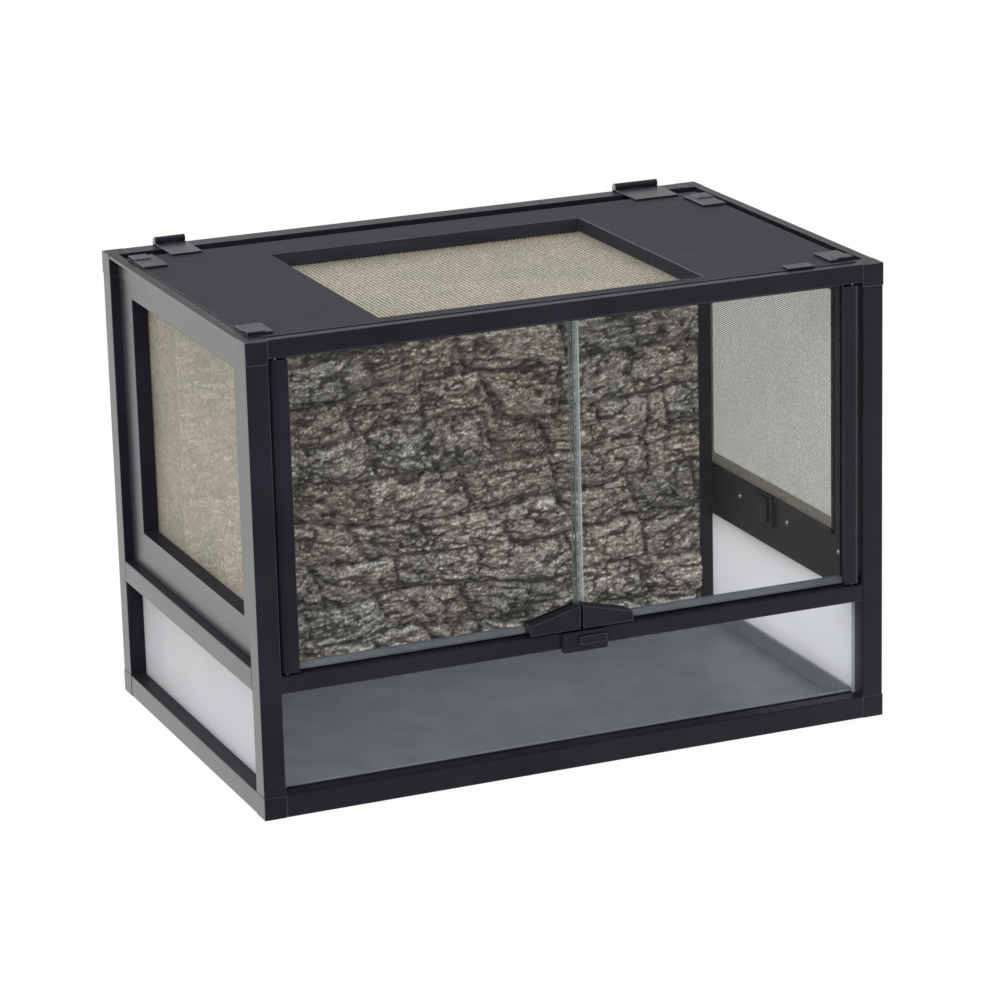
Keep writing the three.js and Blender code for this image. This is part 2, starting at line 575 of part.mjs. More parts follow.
// ---------------------------------------------------------------- doors
// Each door is drawn as the left one; the right one mirrors its outlines.
function buildDoor(name, sx) {
  const side = -sx * WIDTH / 2; // outer plane of this door's side
  const at = (dx, dy) => [side + sx * dx, FRONT + dy];
  const farEdge = WIDTH / 2 - DOOR_GAP / 2; // free edge of the glass, from the side plane
  const slot = STILE_IN - GLASS_BITE - GAP;
  const stileBack = STILE_RECESS + STILE_THICKNESS;

  const arcSteps = 10;
  const roundEdge = Array.from({ length: arcSteps + 1 }, (_, i) => {
    const angle = Math.PI / 2 + (Math.PI * i) / arcSteps;
    return at(PIVOT_IN + PIVOT_RADIUS * Math.cos(angle), PIVOT_DEPTH - PIVOT_RADIUS * Math.sin(angle));
  });
  const section = outline([
    at(STILE_IN, STILE_RECESS), ...roundEdge, at(STILE_IN, stileBack), at(STILE_IN, GLASS_BACK + GAP),
    at(slot, GLASS_BACK + GAP), at(slot, GLASS_DEPTH - GAP), at(STILE_IN, GLASS_DEPTH - GAP),
  ]);
  const bore = new THREE.Path();
  bore.absarc(side + sx * PIVOT_IN, FRONT + PIVOT_DEPTH, ROD_DIAMETER / 2 + RUNNING_GAP, 0, 2 * Math.PI);
  section.holes.push(bore);
  addMesh(`${name}_door_stile`, upright(section, DOOR_BASE, DOOR_TOP, 8), FRAME_BLACK);

  const rodBase = SILL_TOP - ROD_INTO_SILL;
  const rodTop = HEAD_BASE + ROD_INTO_HEAD;
  addMesh(`${name}_door_pivot_rod`, rod(ROD_DIAMETER, rodTop - rodBase, 'z', 12)
    .translate(side + sx * PIVOT_IN, FRONT + PIVOT_DEPTH, (rodBase + rodTop) / 2), STEEL);

  const glassEnds = [side + sx * (slot + GAP), side + sx * farEdge].sort((a, b) => a - b);
  addMesh(`${name}_door_glass`, block(...glassEnds, FRONT + GLASS_DEPTH, FRONT + GLASS_BACK,
    GLASS_BASE, DOOR_TOP), CLEAR);

  const inner = -sx * (DOOR_GAP / 2); // handle end at the middle
  const outer = inner - sx * HANDLE_LENGTH;
  const webTop = DOOR_BASE + HANDLE_WEB;
  const roof = outline([[outer, DOOR_BASE], [inner, DOOR_BASE], [inner, DOOR_BASE + HANDLE_PEAK_HEIGHT],
    [outer, DOOR_BASE + HANDLE_END_HEIGHT]]);
  const back = GLASS_BACK + GAP + HANDLE_BACK;
  const pocket = block(Math.min(outer, inner) - 1, Math.max(outer, inner) + 1,
    FRONT + GLASS_DEPTH - GAP, FRONT + GLASS_BACK + GAP, webTop, DOOR_BASE + HANDLE_PEAK_HEIGHT + 1);
  addMesh(`${name}_door_handle`, cut(facing(roof, FRONT - HANDLE_PROUD, FRONT + back), pocket),
    PLASTIC_BLACK);
}

// A clear strip grips the free edge of the right door's glass, above its handle.
function buildMeetingSeal() {
  const edge = DOOR_GAP / 2;
  const face = FRONT + GLASS_DEPTH - GAP;
  const back = FRONT + GLASS_BACK + GAP;
  const section = outline([
    [edge + SEAL_GRIP, face - SEAL_WALL], [edge - GAP - SEAL_WALL, face - SEAL_WALL],
    [edge - GAP - SEAL_WALL, back + SEAL_WALL], [edge + SEAL_GRIP, back + SEAL_WALL],
    [edge + SEAL_GRIP, back], [edge - GAP, back], [edge - GAP, face], [edge + SEAL_GRIP, face],
  ]);
  addMesh('meeting_seal', upright(section, DOOR_BASE + HANDLE_PEAK_HEIGHT + GAP, DOOR_TOP), CLEAR);
}

// ---------------------------------------------------------------- latch
function buildLatch() {
  const pivotZ = (MID_RAIL_BASE + SILL_TOP) / 2;
  const baseFace = FRONT - LATCH_PROUD;
  const plate = outline([
    [-LATCH_LEFT, MID_RAIL_BASE - LATCH_BELOW, 2], [LATCH_RIGHT, MID_RAIL_BASE - LATCH_BELOW, 2],
    [LATCH_RIGHT, SILL_TOP, 2], [-LATCH_LEFT, SILL_TOP, 2],
  ]);
  const hole = rod(BUTTON_PIVOT_DIAMETER + 2 * RUNNING_GAP, LATCH_PROUD * 4, 'y')
    .translate(0, FRONT, pivotZ);
  addMesh('latch_base', cut(facing(plate, baseFace, FRONT + outerFace - GAP), hole), PLASTIC_BLACK);

  const half = BUTTON_WIDTH / 2;
  const arm = outline([[-half, pivotZ - half, 3], [BUTTON_REACH, pivotZ - half, 2],
    [BUTTON_REACH, pivotZ + half, 2], [-half, pivotZ + half, 3]]);
  const armBack = baseFace - GAP;
  const stemLength = BUTTON_PIVOT_LENGTH + GAP + 1;
  const stem = rod(BUTTON_PIVOT_DIAMETER, stemLength, 'y')
    .translate(0, armBack - 1 + stemLength / 2, pivotZ);
  addMesh('latch_button', join(facing(arm, armBack - BUTTON_THICKNESS, armBack), stem), PLASTIC_BLACK);
}

// ---------------------------------------------------------------- lid
const lid = { x0: LEFT + LID_LEFT, x1: RIGHT - LID_RIGHT, y0: FRONT + LID_FRONT, y1: REAR - LID_REAR };
const lidWindow = {
  x0: LEFT + LID_WINDOW_LEFT, x1: RIGHT - LID_WINDOW_RIGHT,
  y0: FRONT + LID_WINDOW_FRONT, y1: REAR - LID_WINDOW_REAR,
};

function buildLid() {
  const skinBase = HEIGHT - LID_SKIN;
  const slab = cut(
    block(lid.x0, lid.x1, lid.y0, lid.y1, LID_BASE, HEIGHT),
    block(lidWindow.x0, lidWindow.x1, lidWindow.y0, lidWindow.y1, LID_BASE - 1, HEIGHT + 1),
  );
  // The lid is a folded pan: its underside is hollow between the outer rim and the window's rim.
  const hollow = cut(
    block(lid.x0 + LID_RIM, lid.x1 - LID_RIM, lid.y0 + LID_RIM, lid.y1 - LID_RIM, LID_BASE - 1, skinBase),
    block(lidWindow.x0 - LID_RIM, lidWindow.x1 + LID_RIM, lidWindow.y0 - LID_RIM,
      lidWindow.y1 + LID_RIM, LID_BASE - 2, skinBase + 1),
  );
  // Notches clear the corner blocks, with their own walls kept inside.
  const clear = CORNER_SIZE + 4 * GAP;
  const wall = clear + LID_RIM;
  const corner = (x, sx, size, z0, z1) => block(
    Math.min(x, x + sx * size), Math.max(x, x + sx * size), FRONT, FRONT + size, z0, z1,
  );
  const filledHollow = cut(hollow,
    corner(LEFT, 1, wall, LID_BASE - 2, skinBase + 1), corner(RIGHT, -1, wall, LID_BASE - 2, skinBase + 1));
  addMesh('lid_panel', cut(slab, filledHollow,
    corner(LEFT, 1, clear, LID_BASE - 1, HEIGHT + 1), corner(RIGHT, -1, clear, LID_BASE - 1, HEIGHT + 1)),
  LID_GREY);

  const sheet = net(lidWindow.x0 - MESH_MARGIN, lidWindow.x1 + MESH_MARGIN,
    lidWindow.y0 - MESH_MARGIN, lidWindow.y1 + MESH_MARGIN, LID_MESH_GAPS);
  addMesh('lid_mesh', sheet.translate(0, 0, LID_BASE - GAP - MESH_THICKNESS), MESH_BEIGE);
}

// Caps on the lid's corners, with a raised step at their outer end.
function buildLidCaps() {
  const base = HEIGHT + GAP;
  const top = base + CAP_THICKNESS;
  const frontY = FRONT + CORNER_SIZE + 3 * GAP;
  for (const [name, x, sx, y, sy, width] of [
    ['front_left', lid.x0, 1, frontY, 1, FRONT_CAP_WIDTH],
    ['front_right', lid.x1, -1, frontY, 1, FRONT_CAP_WIDTH],
    ['rear_left', lid.x0, 1, lid.y1 - REAR_LEFT_CAP_INSET, -1, REAR_CAP_WIDTH],
    ['rear_right', lid.x1, -1, lid.y1 - REAR_RIGHT_CAP_INSET, -1, REAR_CAP_WIDTH],
  ]) {
    const box = (dx0, dx1, dy0, dy1, z0, z1) => block(
      Math.min(x + sx * dx0, x + sx * dx1), Math.max(x + sx * dx0, x + sx * dx1),
      Math.min(y + sy * dy0, y + sy * dy1), Math.max(y + sy * dy0, y + sy * dy1), z0, z1,
    );
    addMesh(`${name}_lid_cap`, join(
      box(0, CAP_LENGTH, 0, width, base, top),
      box(0, CAP_LENGTH * 0.7, 0, width * 0.4, top - 1, top + CAP_STEP),
    ), PLASTIC_BLACK);
  }
}

function buildLiftTab() {
  const x1 = RIGHT - TAB_RIGHT;
  const y0 = lid.y0 - TAB_OVERHANG;
  const tab = outline([[x1 - TAB_LENGTH, y0, 2], [x1, y0, 2], [x1, y0 + TAB_WIDTH],
    [x1 - TAB_LENGTH, y0 + TAB_WIDTH]]);
  addMesh('lid_lift_tab', upright(tab, HEIGHT + GAP, HEIGHT + GAP + TAB_THICKNESS), PLASTIC_BLACK);
}

// ---------------------------------------------------------------- hinges
function buildHinge(name, x, width) {
  const third = width / 3;
  const bore = () => rod(HINGE_PIN_DIAMETER + 2 * RUNNING_GAP, width + 4, 'x').translate(x, HINGE_Y, HINGE_Z);
  const knuckle = (centre, length) =>
    rod(KNUCKLE_DIAMETER, length, 'x').translate(centre, HINGE_Y, HINGE_Z);
  const swing = KNUCKLE_DIAMETER / 2 + 0.8; // room round the moving knuckle
  const leafFace = REAR - CORNER_PROUD + GAP;
  const leafTop = HINGE_Z + 1;
  addMesh(`${name}_hinge_fixed_leaf`, cut(
    join(
      block(x - width / 2, x + width / 2, leafFace, leafFace + LEAF_THICKNESS, HEIGHT - LEAF_DROP, leafTop),
      knuckle(x - third, third - GAP),
      knuckle(x + third, third - GAP),
    ),
    block(x - third / 2 - GAP, x + third / 2 + GAP, HINGE_Y - swing, REAR + LEAF_THICKNESS + 1,
      HINGE_Z - swing, leafTop + 1),
    bore(),
  ), PLASTIC_BLACK);

  const strapBase = HEIGHT + GAP;
  const strapTop = strapBase + LEAF_THICKNESS;
  const strapEnd = lid.y1 - LEAF_REACH;
  const wideEnd = HINGE_Y - swing;
  addMesh(`${name}_hinge_moving_leaf`, cut(
    join(
      knuckle(x, third - GAP),
      block(x - width / 2, x + width / 2, strapEnd, wideEnd, strapBase, strapTop),
      block(x - (third - GAP) / 2, x + (third - GAP) / 2, wideEnd - 1, HINGE_Y, strapBase, strapTop),
    ),
    bore(),
  ), PLASTIC_BLACK);

  addMesh(`${name}_hinge_pin`,
    rod(HINGE_PIN_DIAMETER, width + 1, 'x', 12).translate(x, HINGE_Y, HINGE_Z), STEEL);
}

// ---------------------------------------------------------------- assembly
buildPosts();
buildRails();
buildPanes();
buildTray();
buildRock();
buildSidePanels();
buildDoor('left', 1);
buildDoor('right', -1);
buildMeetingSeal();
buildLatch();
buildLid();
buildLidCaps();
buildLiftTab();
buildHinge('left', LEFT + HINGE_INSET, HINGE_WIDTH_LEFT);
buildHinge('right', RIGHT - HINGE_INSET, HINGE_WIDTH_RIGHT);

export default cabinet;
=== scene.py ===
# The terrarium cabinet's looks: materials, wire mesh, rock face, panes and seals,
# screws, light and camera. Lengths are in metres; rock_face works in millimetres.
import json
import math

import bmesh
import bpy
import numpy as np
from mathutils import Matrix, Vector


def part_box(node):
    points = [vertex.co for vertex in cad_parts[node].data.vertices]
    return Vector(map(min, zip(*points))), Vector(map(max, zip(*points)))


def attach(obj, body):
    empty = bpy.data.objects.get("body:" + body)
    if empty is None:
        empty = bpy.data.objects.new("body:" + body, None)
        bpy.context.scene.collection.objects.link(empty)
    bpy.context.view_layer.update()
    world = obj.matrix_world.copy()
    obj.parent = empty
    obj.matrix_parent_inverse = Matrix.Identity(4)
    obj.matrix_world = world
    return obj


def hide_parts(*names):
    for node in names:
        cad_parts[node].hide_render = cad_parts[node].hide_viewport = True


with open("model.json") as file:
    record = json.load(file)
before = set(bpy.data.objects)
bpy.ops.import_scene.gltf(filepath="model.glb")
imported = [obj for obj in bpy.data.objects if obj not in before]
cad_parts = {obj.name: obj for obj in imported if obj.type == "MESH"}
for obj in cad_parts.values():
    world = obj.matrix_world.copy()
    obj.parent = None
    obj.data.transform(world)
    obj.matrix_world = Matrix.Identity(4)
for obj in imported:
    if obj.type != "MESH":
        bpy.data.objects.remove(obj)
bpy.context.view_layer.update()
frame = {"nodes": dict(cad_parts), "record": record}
NODES = frame["nodes"]
RECORD = frame["record"]
BODY_OF = {n: b for b, ns in RECORD["behaviour"]["bodies"].items() for n in ns}
SLOT_OF = {s["node"]: s["material_slot"] for s in RECORD["subparts"]}

# ------------------------------------------------------------------ the cabinet's planes, in metres
WIDTH = 0.700
LEFT, RIGHT = -WIDTH / 2, WIDTH / 2
FRONT, REAR = -0.22155, 0.22845
MM = 0.001


# ------------------------------------------------------------------ camera
# Solved on seven corners of the frame in the photograph.
CAMERA_TURN = 22.72, 16.63, -1.4716  # azimuth, elevation and roll, in degrees
CAMERA_PLACE = LEFT - 1.2692, FRONT - 3.6621, 1.4858
CAMERA_LENS = 148.284  # in millimetres, on a sensor 36 wide


def make_camera():
    azimuth, elevation, roll = (math.radians(v) for v in CAMERA_TURN)
    forward = Vector((
        math.sin(azimuth) * math.cos(elevation),
        math.cos(azimuth) * math.cos(elevation),
        -math.sin(elevation),
    ))
    right = Vector((math.cos(azimuth), -math.sin(azimuth), 0))
    down = forward.cross(right)
    c, s = math.cos(roll), math.sin(roll)
    x_axis = right * c - down * s
    y_axis = -(right * s + down * c)
    data = bpy.data.cameras.new("camera")
    data.sensor_fit = "HORIZONTAL"
    data.sensor_width = 36
    data.lens = CAMERA_LENS
    data.clip_start, data.clip_end = 0.05, 60
    camera = bpy.data.objects.new("camera", data)
    bpy.context.collection.objects.link(camera)
    x, y, z = CAMERA_PLACE
    camera.matrix_world = Matrix((
        (x_axis.x, y_axis.x, -forward.x, x),
        (x_axis.y, y_axis.y, -forward.y, y),
        (x_axis.z, y_axis.z, -forward.z, z),
        (0, 0, 0, 1),
    ))
    bpy.context.scene.camera = camera


make_camera()


# ------------------------------------------------------------------ materials
class Nodes:
    """A short way to write a node tree."""

    def __init__(self, name, owners="materials", output="ShaderNodeOutputMaterial"):
        self.owner = getattr(bpy.data, owners).new(name)
        self.owner.use_nodes = True
        self.tree = self.owner.node_tree
        self.tree.nodes.clear()
        self.out = self.add(output)

    def add(self, kind, inputs=None, **props):
        node = self.tree.nodes.new(kind)
        for key, value in props.items():
            setattr(node, key, value)
        for key, value in (inputs or {}).items():
            self.put(node.inputs[key], value)
        return node

    def put(self, socket, value):
        if isinstance(value, bpy.types.NodeSocket):
            self.tree.links.new(value, socket)
        else:
            socket.default_value = value

    def place(self, scale=(1, 1, 1)):
        coords = self.add("ShaderNodeTexCoord").outputs["Object"]
        return self.add("ShaderNodeMapping", {"Vector": coords, "Scale": scale}).outputs["Vector"]

    def noise(self, scale, detail=3, stretch=(1, 1, 1), roughness=0.55):
        return self.add("ShaderNodeTexNoise", {
            "Vector": self.place(stretch), "Scale": scale, "Detail": detail, "Roughness": roughness,
        }).outputs["Fac"]

    def ramp(self, fac, *stops):
        node = self.add("ShaderNodeValToRGB", {"Fac": fac})
        ramp = node.color_ramp
        while len(ramp.elements) < len(stops):
            ramp.elements.new(0.5)
        for element, (at, colour) in zip(ramp.elements, stops):
            element.position = at
            element.color = (*colour, 1) if len(colour) == 3 else colour
        return node.outputs["Color"]

    def span(self, fac, low, high):
        inputs = {"Value": fac, "To Min": low, "To Max": high}
        return self.add("ShaderNodeMapRange", inputs).outputs["Result"]

    def maths(self, operation, a, b):
        node = self.add("ShaderNodeMath", {0: a, 1: b}, operation=operation)
        return node.outputs["Value"]

    def mix_shader(self, fac, a, b):
        return self.add("ShaderNodeMixShader", {0: fac, 1: a, 2: b}).outputs["Shader"]

    def transparent(self, colour):
        return self.add("ShaderNodeBsdfTransparent", {"Color": colour}).outputs["BSDF"]

    def mix(self, fac, a, b, blend="MIX"):
        node = self.add("ShaderNodeMix", data_type="RGBA", blend_type=blend)
        self.put(node.inputs["Factor"], fac)
        self.put(node.inputs["A"], a)
        self.put(node.inputs["B"], b)
        return node.outputs["Result"]

    def bump(self, height, strength, distance, normal=None):
        inputs = {"Height": height, "Strength": strength, "Distance": distance}
        if normal is not None:
            inputs["Normal"] = normal
        return self.add("ShaderNodeBump", inputs).outputs["Normal"]

    def principled(self, **inputs):
        named = {key.replace("_", " "): value for key, value in inputs.items()}
        return self.add("ShaderNodeBsdfPrincipled", named).outputs["BSDF"]

    def finish(self, shader):
        self.tree.links.new(shader, self.out.inputs["Surface"])
        return self.owner


BLACK = (1.0, 0.91, 1.38)  # the purple cast of the photograph's black parts
TOP_SHADE_SHARE = 0.16  # what is left of the sheen on a face that looks up: painted shade that darkens the tops
SHEEN_WHITE = (1, 0.99, 0.97, 1)
FINE = 0.0002  # depth of a fine skin, in metres


def grey(value, tint=(1, 1, 1)):
    return tuple(value * t for t in tint)


def sheen(n, body, normal, rough, share):
    """The gloss that a satin coat shows at low angles, weakened on faces that look up as painted shade
    of the tops.
    """
    facing = n.add("ShaderNodeLayerWeight", {"Blend": 0.5}).outputs["Facing"]
    curve = n.maths("POWER", facing, 2.0)
    face = n.add("ShaderNodeNewGeometry").outputs["Normal"]
    up = n.add("ShaderNodeSeparateXYZ", {"Vector": face}).outputs["Z"]
    # Faces that look up keep less of the sheen: painted shade that darkens the tops.
    top_shaded_share = n.span(up, share, share * TOP_SHADE_SHARE)
    fac = n.maths("MULTIPLY", curve, top_shaded_share)
    inputs = {"Color": SHEEN_WHITE, "Roughness": rough, "Normal": normal}
    gloss = n.add("ShaderNodeBsdfGlossy", inputs).outputs["BSDF"]
    return n.mix_shader(fac, body, gloss)


def coated_metal(name, low, high, rough, specular, share):
    """Powder coat: a fine orange-peel skin with cloudy wear."""
    n = Nodes(name)
    colour = n.ramp(n.noise(9, 4), (0.3, low), (0.7, high))
    normal = n.bump(n.noise(1400, 2), 0.12, FINE)
    body = n.principled(Base_Color=colour, Normal=normal, Specular_IOR_Level=specular,
                        Roughness=n.span(n.noise(30, 3), rough - 0.05, rough + 0.07))
    return n.finish(sheen(n, body, normal, 0.3, share))


def worn_and_highlit_edge(name):
    """The coat along an edge: lighter and smoother in places, partly rubbed thin and partly a painted
    highlight along the edge.
    """
    n = Nodes(name)
    rub_and_glint = n.noise(38, 4)
    # The lightest grey is partly bare metal and partly a painted highlight along the edge.
    bare_and_highlit = grey(0.11, (1, 0.98, 1.03))
    colour = n.ramp(rub_and_glint, (0.35, grey(0.022, BLACK)), (0.6, grey(0.05, BLACK)), (0.75, bare_and_highlit))
    normal = n.bump(n.noise(900, 2), 0.1, FINE)
    body = n.principled(Base_Color=colour, Roughness=n.span(rub_and_glint, 0.38, 0.22), Normal=normal,
                        Specular_IOR_Level=0.3)
    return n.finish(sheen(n, body, normal, 0.25, 0.6))


def moulded(name, low, high, rough, grain=900, strength=0.15, specular=0.4, share=0.0):
    """Moulded plastic: a fine spark texture and slight flow marks."""
    n = Nodes(name)
    colour = n.ramp(n.noise(22, 5), (0.3, low), (0.72, high))
    normal = n.bump(n.noise(grain, 3), strength, FINE)
    body = n.principled(Base_Color=colour, Normal=normal, Specular_IOR_Level=specular,
                        Roughness=n.span(n.noise(50, 3), rough - 0.06, rough + 0.08))
    return n.finish(sheen(n, body, normal, 0.22, share) if share else body)


def lid_skin(name):
    """Lid panel: fine brushed lines along its length under a matt skin."""
    n = Nodes(name)
    lines = n.noise(160, 4, (0.12, 1, 1))
    cloud = n.noise(7, 4)
    clouded = n.ramp(cloud, (0.3, (0.022, 0.0215, 0.029)), (0.7, (0.034, 0.0335, 0.043)))
    lined = n.ramp(lines, (0.35, (0.015, 0.0145, 0.02)), (0.7, (0.045, 0.044, 0.055)))
    colour = n.mix(0.35, clouded, lined)
    return n.finish(n.principled(Base_Color=colour, Roughness=n.span(cloud, 0.55, 0.68),
                                 Normal=n.bump(lines, 0.1, FINE), Specular_IOR_Level=0.08))


def steel(name, colour, rough):
    """Brushed steel."""
    n = Nodes(name)
    lines = n.noise(500, 3, (0.2, 1, 1))
    tint = n.ramp(lines, (0.3, tuple(c * 0.85 for c in colour)), (0.7, colour))
    return n.finish(n.principled(Base_Color=tint, Normal=n.bump(lines, 0.08, 0.0001), Metallic=1.0,
                                 Roughness=n.span(lines, rough - 0.06, rough + 0.1)))


def wire(name):
    """Woven wire: dull beige with lighter and darker threads."""
    n = Nodes(name)
    speck = n.noise(330, 3, (1, 1, 1), 0.6)
    cloud = n.noise(14, 4)
    base = n.ramp(speck, (0.34, (0.30, 0.272, 0.215)), (0.5, (0.49, 0.45, 0.365)),
                  (0.66, (0.70, 0.665, 0.57)))
    shade = n.ramp(cloud, (0.3, (0.80, 0.80, 0.80)), (0.7, (1.0, 0.985, 0.95)))
    return n.finish(n.principled(Base_Color=n.mix(1.0, base, shade, "MULTIPLY"),
                                 Roughness=n.span(speck, 0.45, 0.6), Metallic=0.25))


def pane_face(name, ior, tint):
    """A clean sheet of glass: see-through, with the mirror part that glass has at each angle."""
    n = Nodes(name)
    smear = n.noise(5, 3)
    clear = n.transparent(n.ramp(smear, (0.3, tuple(t * 0.985 for t in tint)), (0.7, tint)))
    inputs = {"Color": (1, 1, 1, 1), "Roughness": 0.02}
    gloss = n.add("ShaderNodeBsdfGlossy", inputs).outputs["BSDF"]
    fresnel = n.add("ShaderNodeFresnel", {"IOR": ior}).outputs["Fac"]
    behind = n.add("ShaderNodeNewGeometry").outputs["Backfacing"]
    fac = n.maths("MULTIPLY", fresnel, n.maths("SUBTRACT", 1.0, behind))
    return n.finish(n.mix_shader(fac, clear, gloss))


def pane_edge(name):
    """The ground edge of a pane: pale green-grey, catching light."""
    n = Nodes(name)
    lines = n.noise(300, 3, (1, 1, 0.1))
    colour = n.ramp(lines, (0.3, (0.07, 0.10, 0.10)), (0.7, (0.14, 0.18, 0.18)))
    return n.finish(n.principled(Base_Color=colour, Roughness=n.span(lines, 0.15, 0.3)))


def frosted(name):
    """Frosted sheet: evenly bright from both faces, with a faint cloud."""
    n = Nodes(name)
    cloud = n.noise(11, 4)
    fine = n.noise(900, 2)
    colour = n.ramp(cloud, (0.3, (0.90, 0.90, 0.92)), (0.7, (0.94, 0.94, 0.96)))
    normal = n.bump(fine, 0.1, FINE)
    front = n.add("ShaderNodeBsdfDiffuse", {"Color": colour, "Normal": normal}).outputs["BSDF"]
    back = n.add("ShaderNodeBsdfTranslucent", {"Color": colour, "Normal": normal}).outputs["BSDF"]
    body = n.mix_shader(0.6, front, back)
    clear = n.transparent((0.97, 0.97, 0.98, 1))
    return n.finish(n.mix_shader(n.span(fine, 0.76, 0.86), clear, body))


def clear_plastic(name, alpha, low=(0.66, 0.69, 0.70), high=(0.80, 0.83, 0.85)):
    """Clear extruded plastic: milky where it is thick."""
    n = Nodes(name)
    lines = n.noise(420, 3, (0.04, 1, 0.04))
    colour = n.ramp(lines, (0.3, low), (0.7, high))
    body = n.principled(Base_Color=colour, Roughness=n.span(lines, 0.12, 0.24))
    return n.finish(n.mix_shader(alpha, n.transparent((0.95, 0.96, 0.96, 1)), body))


def rock(name):
    """Foam rock: the vertex colours carry the stones with their painted shade and painted light, and
    fine noise the grain.
    """
    n = Nodes(name)
    paint = n.add("ShaderNodeVertexColor", layer_name="stone").outputs["Color"]
    grain = n.noise(260, 5, (0.45, 1, 1), 0.7)
    fleck = n.noise(120, 4, (0.35, 1, 1), 0.65)
    grains = n.ramp(grain, (0.33, grey(0.3)), (0.5, grey(0.98)), (0.67, grey(2.2)))
    flecks = n.ramp(fleck, (0.36, (0.035, 0.03, 0.027)), (0.53, (0.25, 0.218, 0.19)),
                    (0.67, (0.82, 0.72, 0.66)))
    colour = n.mix(1.0, paint, grains, "MULTIPLY")
    colour = n.mix(n.span(fleck, 0.0, 0.45), colour, flecks)
    normal = n.bump(grain, 0.6, 0.0016)
    return n.finish(n.principled(Base_Color=colour, Roughness=n.span(fleck, 0.75, 0.95),
                                 Normal=normal, Specular_IOR_Level=0.2))


MATERIALS = {
    "frame_black": coated_metal("powder_coat", grey(0.0110, BLACK), grey(0.0195, BLACK),
                                0.34, 0.02, 0.48),
    "black_plastic": moulded("black_plastic", grey(0.0100, BLACK), grey(0.0175, BLACK), 0.42,
                             specular=0.03, share=0.48),
    "cap_plastic": moulded("cap_plastic", grey(0.0095, BLACK), grey(0.016, BLACK), 0.38,
                           specular=0.2, share=0.06),
    "lid_grey": lid_skin("lid_skin"),
    "steel": steel("steel", (0.55, 0.56, 0.57), 0.3),
    "wire_mesh": wire("wire"),
    "clear_glass": pane_face("glass_front", 1.25, (0.985, 0.995, 0.99)),
    "frosted_pane": frosted("frosted"),
    "milky": clear_plastic("milky", 0.62, (0.42, 0.45, 0.45), (0.56, 0.59, 0.59)),
    "pane_edge": pane_edge("pane_edge"),
    "clear_plastic": clear_plastic("clear_plastic", 0.05),
    "strip": clear_plastic("strip", 0.3, (0.17, 0.19, 0.22), (0.27, 0.29, 0.33)),
    "rock_foam": rock("rock"),
    "tray_plastic": moulded("tray_plastic", (0.25, 0.27, 0.31), (0.33, 0.35, 0.39), 0.5,
                            grain=300, strength=0.2),
    # Bevel faces: partly real wear and partly a painted highlight along the edges.
    "worn_and_highlit_edge": worn_and_highlit_edge("worn_and_highlit_edge"),
    "screw": steel("screw", (0.75, 0.76, 0.78), 0.25),
    "hinge_metal": coated_metal("hinge_metal", grey(0.011, BLACK), grey(0.020, BLACK),
                                0.25, 0.03, 0.7),
}


# ------------------------------------------------------------------ making pieces
def piece(name, verts, faces, body, slot, mats=None, index=None, smooth=False):
    """A mesh object on a body. index picks each face's material out of mats."""
    mesh = bpy.data.meshes.new(name)
    mesh.from_pydata([tuple(v) for v in verts], [], [tuple(f) for f in faces])
    for m in mats or [MATERIALS[slot]]:
        mesh.materials.append(m)
    if index is not None:
        mesh.polygons.foreach_set("material_index", np.asarray(index, np.int32))
    mesh.polygons.foreach_set("use_smooth", np.full(len(mesh.polygons), smooth))
    mesh.update()
    obj = bpy.data.objects.new(name, mesh)
    bpy.context.collection.objects.link(obj)
    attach(obj, body)
    return obj


BOX_CORNERS = [(0, 0, 0), (1, 0, 0), (1, 1, 0), (0, 1, 0),
               (0, 0, 1), (1, 0, 1), (1, 1, 1), (0, 1, 1)]
BOX_FACES = [(0, 3, 2, 1), (4, 5, 6, 7), (0, 1, 5, 4), (1, 2, 6, 5), (2, 3, 7, 6), (3, 0, 4, 7)]


def box_mesh(lo, hi):
    ends = lo, hi
    return [tuple(ends[end][i] for i, end in enumerate(c)) for c in BOX_CORNERS], BOX_FACES


def boxes_mesh(boxes):
    """Many boxes in one mesh, given as rows of lowest and highest corner."""
    boxes = np.asarray(boxes, float)
    low, high = boxes[:, None, :3], boxes[:, None, 3:]
    verts = low + np.array(BOX_CORNERS)[None] * (high - low)
    faces = (np.arange(len(boxes)) * len(BOX_CORNERS))[:, None, None] + np.array(BOX_FACES)[None]
    return verts.reshape(-1, 3).tolist(), faces.reshape(-1, 4).tolist()


def bevel(obj, width, segments):
    """Breaks the edges, and keeps the flat faces flat in the shading."""
    m = obj.modifiers.new("bevel", "BEVEL")
    m.width, m.segments = width, segments
    m.limit_method, m.angle_limit = "ANGLE", math.radians(35)
    weighted = obj.modifiers.new("normals", "WEIGHTED_NORMAL")
    weighted.weight, weighted.keep_sharp = 70, True


def dress(node, width, segments, material):
    """A copy of a CAD node with its edges broken, worn and given a painted highlight, standing for it.
    """
    bm = bmesh.new()
    bm.from_mesh(NODES[node].data)
    bmesh.ops.remove_doubles(bm, verts=bm.verts, dist=1e-6)
    bmesh.ops.dissolve_limit(bm, angle_limit=math.radians(1), verts=bm.verts, edges=bm.edges)
    mesh = bpy.data.meshes.new(f"{node}_dressed")
    bm.to_mesh(mesh)
    bm.free()
    mesh.materials.clear()
    mesh.materials.append(MATERIALS[material])
    mesh.materials.append(MATERIALS["worn_and_highlit_edge"])
    mesh.polygons.foreach_set("use_smooth", np.ones(len(mesh.polygons), bool))
    obj = bpy.data.objects.new(f"{node}_dressed", mesh)
    bpy.context.collection.objects.link(obj)
    bevel(obj, width, segments)
    obj.modifiers["bevel"].material = 1  # worn edge, with its painted highlight
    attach(obj, BODY_OF[node])
    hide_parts(node)


